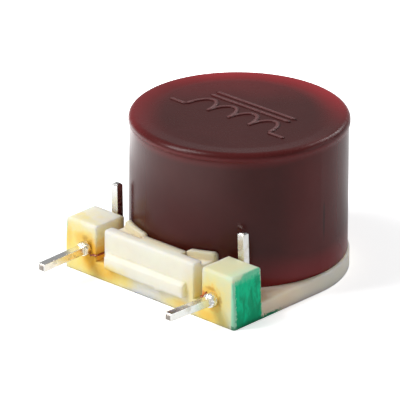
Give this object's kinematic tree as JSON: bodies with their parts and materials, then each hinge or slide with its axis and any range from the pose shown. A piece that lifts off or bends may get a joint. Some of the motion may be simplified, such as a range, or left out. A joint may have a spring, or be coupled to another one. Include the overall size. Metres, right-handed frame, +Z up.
{
  "type": "toroidal inductor",
  "caption": "Toroidal inductor: a wound ferrite ring under a round maroon cap, on a nylon carrier whose terminal bar holds bent square wire pins.",
  "frame": {"origin": "on the cap's axis, at the underside of the carrier's plate", "axes": "+Z up along the cap's axis, -Y towards the terminal bar and the pins' front legs, X along the bar"},
  "size_m": [0.0204, 0.0274, 0.0142],
  "materials": {
    "nylon": "off-white nylon moulding, translucent, stained yellow by flux round the pins, green paint on the ends",
    "cap_plastic": "translucent maroon moulding, satin gloss",
    "ferrite": "dull dark grey ferrite",
    "polyester_tape": "yellow polyester film",
    "enamelled_copper": "enamelled copper wire",
    "foam": "white adhesive foam",
    "enamelled_lead": "red-brown wire enamel",
    "tinned_wire": "tinned, drawn, slightly dulled",
    "solder": "bright solder"
  },
  "bodies": {
    "root": {"base": "nylon", "cap": "cap_plastic", "core": "ferrite", "core_tape": "polyester_tape", "winding": "enamelled_copper", "mounting_pad": "foam", "start_lead": "enamelled_lead", "finish_lead": "enamelled_lead", "left_pin": "tinned_wire", "right_pin": "tinned_wire", "left_solder": "solder", "right_solder": "solder"}
  },
  "joints": []
}
